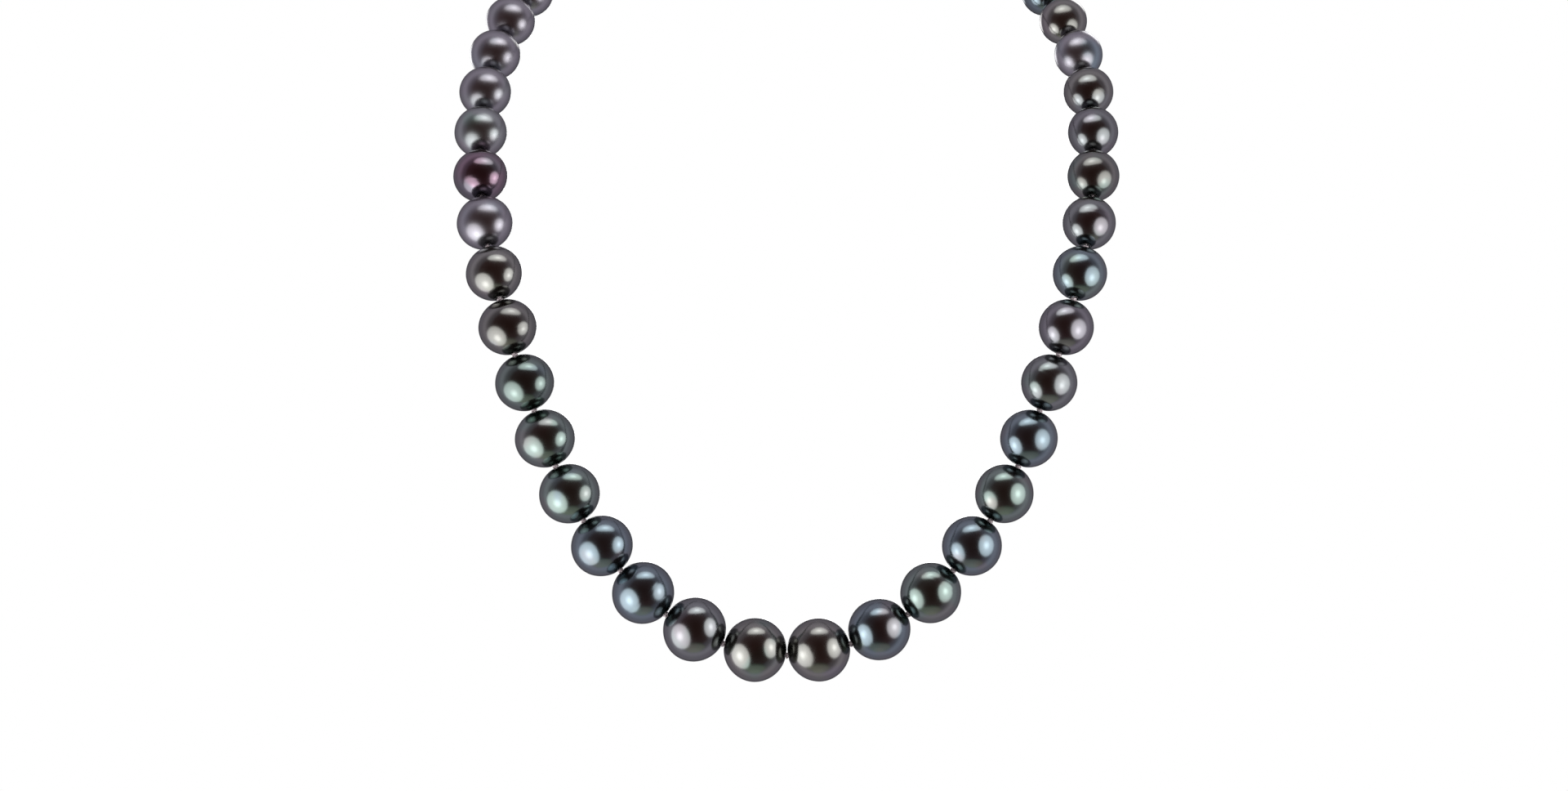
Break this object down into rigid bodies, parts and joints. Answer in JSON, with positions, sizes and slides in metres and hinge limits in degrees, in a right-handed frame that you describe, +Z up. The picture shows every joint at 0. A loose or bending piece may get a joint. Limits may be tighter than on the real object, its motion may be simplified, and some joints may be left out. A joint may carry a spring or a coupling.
{
  "type": "pearl necklace",
  "caption": "Graduated single-strand necklace of dark, lustrous round pearls on knotted silk, with a magnetic bead clasp, posed as worn.",
  "frame": {"origin": "on the axis of the neck that wears it, level with the widest pearls", "axes": "+Z up, +X to the viewer's right as seen from the front, -Y towards the viewer"},
  "size_m": [0.1148, 0.0915, 0.1412],
  "materials": {
    "nacre_grey": "glossy nacre with soft-edged highlights and a coloured overtone",
    "nacre_bronze": "glossy nacre with soft-edged highlights and a coloured overtone",
    "nacre_green": "glossy nacre with soft-edged highlights and a coloured overtone",
    "nacre_blue": "glossy nacre with soft-edged highlights and a coloured overtone",
    "nacre_mauve": "glossy nacre with soft-edged highlights and a coloured overtone",
    "nacre_aubergine": "glossy nacre with soft-edged highlights and a coloured overtone",
    "silk": "twisted silk thread, grey",
    "french_wire": "fine coiled silver wire",
    "white_gold": "polished white gold",
    "nickel_plate": "plated magnet"
  },
  "bodies": {
    "neck_rest": {"pearl_left_09": "nacre_bronze", "pearl_left_10": "nacre_mauve", "pearl_left_11": "nacre_aubergine", "pearl_left_12": "nacre_grey", "pearl_left_13": "nacre_mauve", "pearl_right_09": "nacre_blue", "pearl_right_10": "nacre_grey", "pearl_right_11": "nacre_bronze", "pearl_right_12": "nacre_grey", "pearl_right_13": "nacre_bronze", "silk_cord": "silk"},
    "front_left_08": {"pearl_left_08": "nacre_bronze"},
    "front_left_07": {"pearl_left_07": "nacre_green"},
    "front_left_06": {"pearl_left_06": "nacre_green"},
    "front_left_05": {"pearl_left_05": "nacre_green"},
    "front_left_04": {"pearl_left_04": "nacre_blue"},
    "front_left_03": {"pearl_left_03": "nacre_blue"},
    "front_left_02": {"pearl_left_02": "nacre_grey"},
    "front_left_01": {"pearl_left_01": "nacre_bronze"},
    "nape_left_14": {"pearl_left_14": "nacre_mauve"},
    "nape_left_15": {"pearl_left_15": "nacre_mauve"},
    "nape_left_16": {"pearl_left_16": "nacre_mauve"},
    "nape_left_17": {"pearl_left_17": "nacre_grey"},
    "nape_left_18": {"pearl_left_18": "nacre_mauve"},
    "nape_left_19": {"pearl_left_19": "nacre_bronze"},
    "nape_left_20": {"pearl_left_20": "nacre_grey"},
    "nape_left_21": {"pearl_left_21": "nacre_mauve"},
    "nape_left_22": {"pearl_left_22": "nacre_grey"},
    "nape_left_23": {"pearl_left_23": "nacre_blue", "gimp_left": "french_wire"},
    "clasp_left": {"clasp_bead_left": "white_gold", "clasp_magnet_left": "nickel_plate"},
    "front_right_08": {"pearl_right_08": "nacre_mauve"},
    "front_right_07": {"pearl_right_07": "nacre_grey"},
    "front_right_06": {"pearl_right_06": "nacre_blue"},
    "front_right_05": {"pearl_right_05": "nacre_green"},
    "front_right_04": {"pearl_right_04": "nacre_blue"},
    "front_right_03": {"pearl_right_03": "nacre_green"},
    "front_right_02": {"pearl_right_02": "nacre_blue"},
    "front_right_01": {"pearl_right_01": "nacre_bronze"},
    "nape_right_14": {"pearl_right_14": "nacre_mauve"},
    "nape_right_15": {"pearl_right_15": "nacre_bronze"},
    "nape_right_16": {"pearl_right_16": "nacre_blue"},
    "nape_right_17": {"pearl_right_17": "nacre_grey"},
    "nape_right_18": {"pearl_right_18": "nacre_green"},
    "nape_right_19": {"pearl_right_19": "nacre_mauve"},
    "nape_right_20": {"pearl_right_20": "nacre_grey"},
    "nape_right_21": {"pearl_right_21": "nacre_bronze"},
    "nape_right_22": {"pearl_right_22": "nacre_blue"},
    "nape_right_23": {"pearl_right_23": "nacre_grey", "gimp_right": "french_wire"},
    "clasp_right": {"clasp_bead_right": "white_gold", "clasp_magnet_right": "nickel_plate"}
  },
  "joints": [
    {"name": "swing_left_08", "type": "hinge", "parent": "neck_rest", "child": "front_left_08", "pos_m": [-0.04897, -0.03937, -0.02262], "axis": [-1, 0, 0], "range_deg": [-14, 20], "deforming": ["silk_cord"]},
    {"name": "swing_left_07", "type": "hinge", "parent": "front_left_08", "child": "front_left_07", "pos_m": [-0.04634, -0.04042, -0.03206], "axis": [-1, 0, 0], "range_deg": [-16, 20], "deforming": ["silk_cord"]},
    {"name": "swing_left_06", "type": "hinge", "parent": "front_left_07", "child": "front_left_06", "pos_m": [-0.04309, -0.04, -0.04155], "axis": [-1, 0, 0], "range_deg": [-20, 20], "deforming": ["silk_cord"]},
    {"name": "swing_left_05", "type": "hinge", "parent": "front_left_06", "child": "front_left_05", "pos_m": [-0.03946, -0.04, -0.0511], "axis": [-1, 0, 0], "range_deg": [-20, 20], "deforming": ["silk_cord"]},
    {"name": "swing_left_04", "type": "hinge", "parent": "front_left_05", "child": "front_left_04", "pos_m": [-0.0347, -0.04, -0.06035], "axis": [-1, 0, 0], "range_deg": [-20, 20], "deforming": ["silk_cord"]},
    {"name": "swing_left_03", "type": "hinge", "parent": "front_left_04", "child": "front_left_03", "pos_m": [-0.02841, -0.04, -0.06888], "axis": [-1, 0, 0], "range_deg": [-20, 20], "deforming": ["silk_cord"]},
    {"name": "swing_left_02", "type": "hinge", "parent": "front_left_03", "child": "front_left_02", "pos_m": [-0.02064, -0.04, -0.07637], "axis": [-1, 0, 0], "range_deg": [-20, 20], "deforming": ["silk_cord"]},
    {"name": "swing_left_01", "type": "hinge", "parent": "front_left_02", "child": "front_left_01", "pos_m": [-0.01086, -0.04, -0.08138], "axis": [-1, 0, 0], "range_deg": [-20, 20], "deforming": ["silk_cord"]},
    {"name": "open_left_14", "type": "hinge", "parent": "neck_rest", "child": "nape_left_14", "pos_m": [-0.05203, -0.01663, 0.01734], "axis": [0, 0, 1], "range_deg": [0, 20], "deforming": ["silk_cord"]},
    {"name": "open_left_15", "type": "hinge", "parent": "nape_left_14", "child": "nape_left_15", "pos_m": [-0.05005, -0.01102, 0.02392], "axis": [0, 0, 1], "range_deg": [0, 20], "deforming": ["silk_cord"]},
    {"name": "open_left_16", "type": "hinge", "parent": "nape_left_15", "child": "nape_left_16", "pos_m": [-0.04723, -0.00524, 0.02981], "axis": [0, 0, 1], "range_deg": [0, 20], "deforming": ["silk_cord"]},
    {"name": "open_left_17", "type": "hinge", "parent": "nape_left_16", "child": "nape_left_17", "pos_m": [-0.04398, 0.00102, 0.03469], "axis": [0, 0, 1], "range_deg": [0, 20], "deforming": ["silk_cord"]},
    {"name": "open_left_18", "type": "hinge", "parent": "nape_left_17", "child": "nape_left_18", "pos_m": [-0.04065, 0.00781, 0.03844], "axis": [0, 0, 1], "range_deg": [0, 20], "deforming": ["silk_cord"]},
    {"name": "open_left_19", "type": "hinge", "parent": "nape_left_18", "child": "nape_left_19", "pos_m": [-0.03716, 0.01472, 0.04147], "axis": [0, 0, 1], "range_deg": [0, 20], "deforming": ["silk_cord"]},
    {"name": "open_left_20", "type": "hinge", "parent": "nape_left_19", "child": "nape_left_20", "pos_m": [-0.0333, 0.02146, 0.04405], "axis": [0, 0, 1], "range_deg": [0, 20], "deforming": ["silk_cord"]},
    {"name": "open_left_21", "type": "hinge", "parent": "nape_left_20", "child": "nape_left_21", "pos_m": [-0.02874, 0.02771, 0.04633], "axis": [0, 0, 1], "range_deg": [0, 20], "deforming": ["silk_cord"]},
    {"name": "open_left_22", "type": "hinge", "parent": "nape_left_21", "child": "nape_left_22", "pos_m": [-0.02341, 0.03338, 0.04802], "axis": [0, 0, 1], "range_deg": [0, 20], "deforming": ["silk_cord"]},
    {"name": "open_left_23", "type": "hinge", "parent": "nape_left_22", "child": "nape_left_23", "pos_m": [-0.01744, 0.03837, 0.04919], "axis": [0, 0, 1], "range_deg": [0, 20], "deforming": ["silk_cord"]},
    {"name": "clasp_turn_left", "type": "hinge", "parent": "nape_left_23", "child": "clasp_left", "pos_m": [-0.00845, 0.0432, 0.0504], "axis": [0, 0, 1], "range_deg": [0, 20]},
    {"name": "swing_right_08", "type": "hinge", "parent": "neck_rest", "child": "front_right_08", "pos_m": [0.04897, -0.03937, -0.02262], "axis": [-1, 0, 0], "range_deg": [-14, 20], "deforming": ["silk_cord"]},
    {"name": "swing_right_07", "type": "hinge", "parent": "front_right_08", "child": "front_right_07", "pos_m": [0.04634, -0.04042, -0.03206], "axis": [-1, 0, 0], "range_deg": [-16, 20], "deforming": ["silk_cord"]},
    {"name": "swing_right_06", "type": "hinge", "parent": "front_right_07", "child": "front_right_06", "pos_m": [0.04309, -0.04, -0.04155], "axis": [-1, 0, 0], "range_deg": [-20, 20], "deforming": ["silk_cord"]},
    {"name": "swing_right_05", "type": "hinge", "parent": "front_right_06", "child": "front_right_05", "pos_m": [0.03946, -0.04, -0.0511], "axis": [-1, 0, 0], "range_deg": [-20, 20], "deforming": ["silk_cord"]},
    {"name": "swing_right_04", "type": "hinge", "parent": "front_right_05", "child": "front_right_04", "pos_m": [0.0347, -0.04, -0.06035], "axis": [-1, 0, 0], "range_deg": [-20, 20], "deforming": ["silk_cord"]},
    {"name": "swing_right_03", "type": "hinge", "parent": "front_right_04", "child": "front_right_03", "pos_m": [0.02841, -0.04, -0.06888], "axis": [-1, 0, 0], "range_deg": [-20, 20], "deforming": ["silk_cord"]},
    {"name": "swing_right_02", "type": "hinge", "parent": "front_right_03", "child": "front_right_02", "pos_m": [0.02064, -0.04, -0.07637], "axis": [-1, 0, 0], "range_deg": [-20, 20], "deforming": ["silk_cord"]},
    {"name": "swing_right_01", "type": "hinge", "parent": "front_right_02", "child": "front_right_01", "pos_m": [0.01086, -0.04, -0.08138], "axis": [-1, 0, 0], "range_deg": [-20, 20], "deforming": ["silk_cord"]},
    {"name": "open_right_14", "type": "hinge", "parent": "neck_rest", "child": "nape_right_14", "pos_m": [0.05203, -0.01663, 0.01734], "axis": [0, 0, -1], "range_deg": [0, 20], "deforming": ["silk_cord"]},
    {"name": "open_right_15", "type": "hinge", "parent": "nape_right_14", "child": "nape_right_15", "pos_m": [0.05005, -0.01102, 0.02392], "axis": [0, 0, -1], "range_deg": [0, 20], "deforming": ["silk_cord"]},
    {"name": "open_right_16", "type": "hinge", "parent": "nape_right_15", "child": "nape_right_16", "pos_m": [0.04723, -0.00524, 0.02981], "axis": [0, 0, -1], "range_deg": [0, 20], "deforming": ["silk_cord"]},
    {"name": "open_right_17", "type": "hinge", "parent": "nape_right_16", "child": "nape_right_17", "pos_m": [0.04398, 0.00102, 0.03469], "axis": [0, 0, -1], "range_deg": [0, 20], "deforming": ["silk_cord"]},
    {"name": "open_right_18", "type": "hinge", "parent": "nape_right_17", "child": "nape_right_18", "pos_m": [0.04065, 0.00781, 0.03844], "axis": [0, 0, -1], "range_deg": [0, 20], "deforming": ["silk_cord"]},
    {"name": "open_right_19", "type": "hinge", "parent": "nape_right_18", "child": "nape_right_19", "pos_m": [0.03716, 0.01472, 0.04147], "axis": [0, 0, -1], "range_deg": [0, 20], "deforming": ["silk_cord"]},
    {"name": "open_right_20", "type": "hinge", "parent": "nape_right_19", "child": "nape_right_20", "pos_m": [0.0333, 0.02146, 0.04405], "axis": [0, 0, -1], "range_deg": [0, 20], "deforming": ["silk_cord"]},
    {"name": "open_right_21", "type": "hinge", "parent": "nape_right_20", "child": "nape_right_21", "pos_m": [0.02874, 0.02771, 0.04633], "axis": [0, 0, -1], "range_deg": [0, 20], "deforming": ["silk_cord"]},
    {"name": "open_right_22", "type": "hinge", "parent": "nape_right_21", "child": "nape_right_22", "pos_m": [0.02341, 0.03338, 0.04802], "axis": [0, 0, -1], "range_deg": [0, 20], "deforming": ["silk_cord"]},
    {"name": "open_right_23", "type": "hinge", "parent": "nape_right_22", "child": "nape_right_23", "pos_m": [0.01744, 0.03837, 0.04919], "axis": [0, 0, -1], "range_deg": [0, 20], "deforming": ["silk_cord"]},
    {"name": "clasp_turn_right", "type": "hinge", "parent": "nape_right_23", "child": "clasp_right", "pos_m": [0.00845, 0.0432, 0.0504], "axis": [0, 0, -1], "range_deg": [0, 20]}
  ],
  "couplings": [
    {"joint": "swing_right_08", "follows": "swing_left_08", "ratio": 1},
    {"joint": "swing_right_07", "follows": "swing_left_07", "ratio": 1},
    {"joint": "swing_right_06", "follows": "swing_left_06", "ratio": 1},
    {"joint": "swing_right_05", "follows": "swing_left_05", "ratio": 1},
    {"joint": "swing_right_04", "follows": "swing_left_04", "ratio": 1},
    {"joint": "swing_right_03", "follows": "swing_left_03", "ratio": 1},
    {"joint": "swing_right_02", "follows": "swing_left_02", "ratio": 1},
    {"joint": "swing_right_01", "follows": "swing_left_01", "ratio": 1}
  ]
}
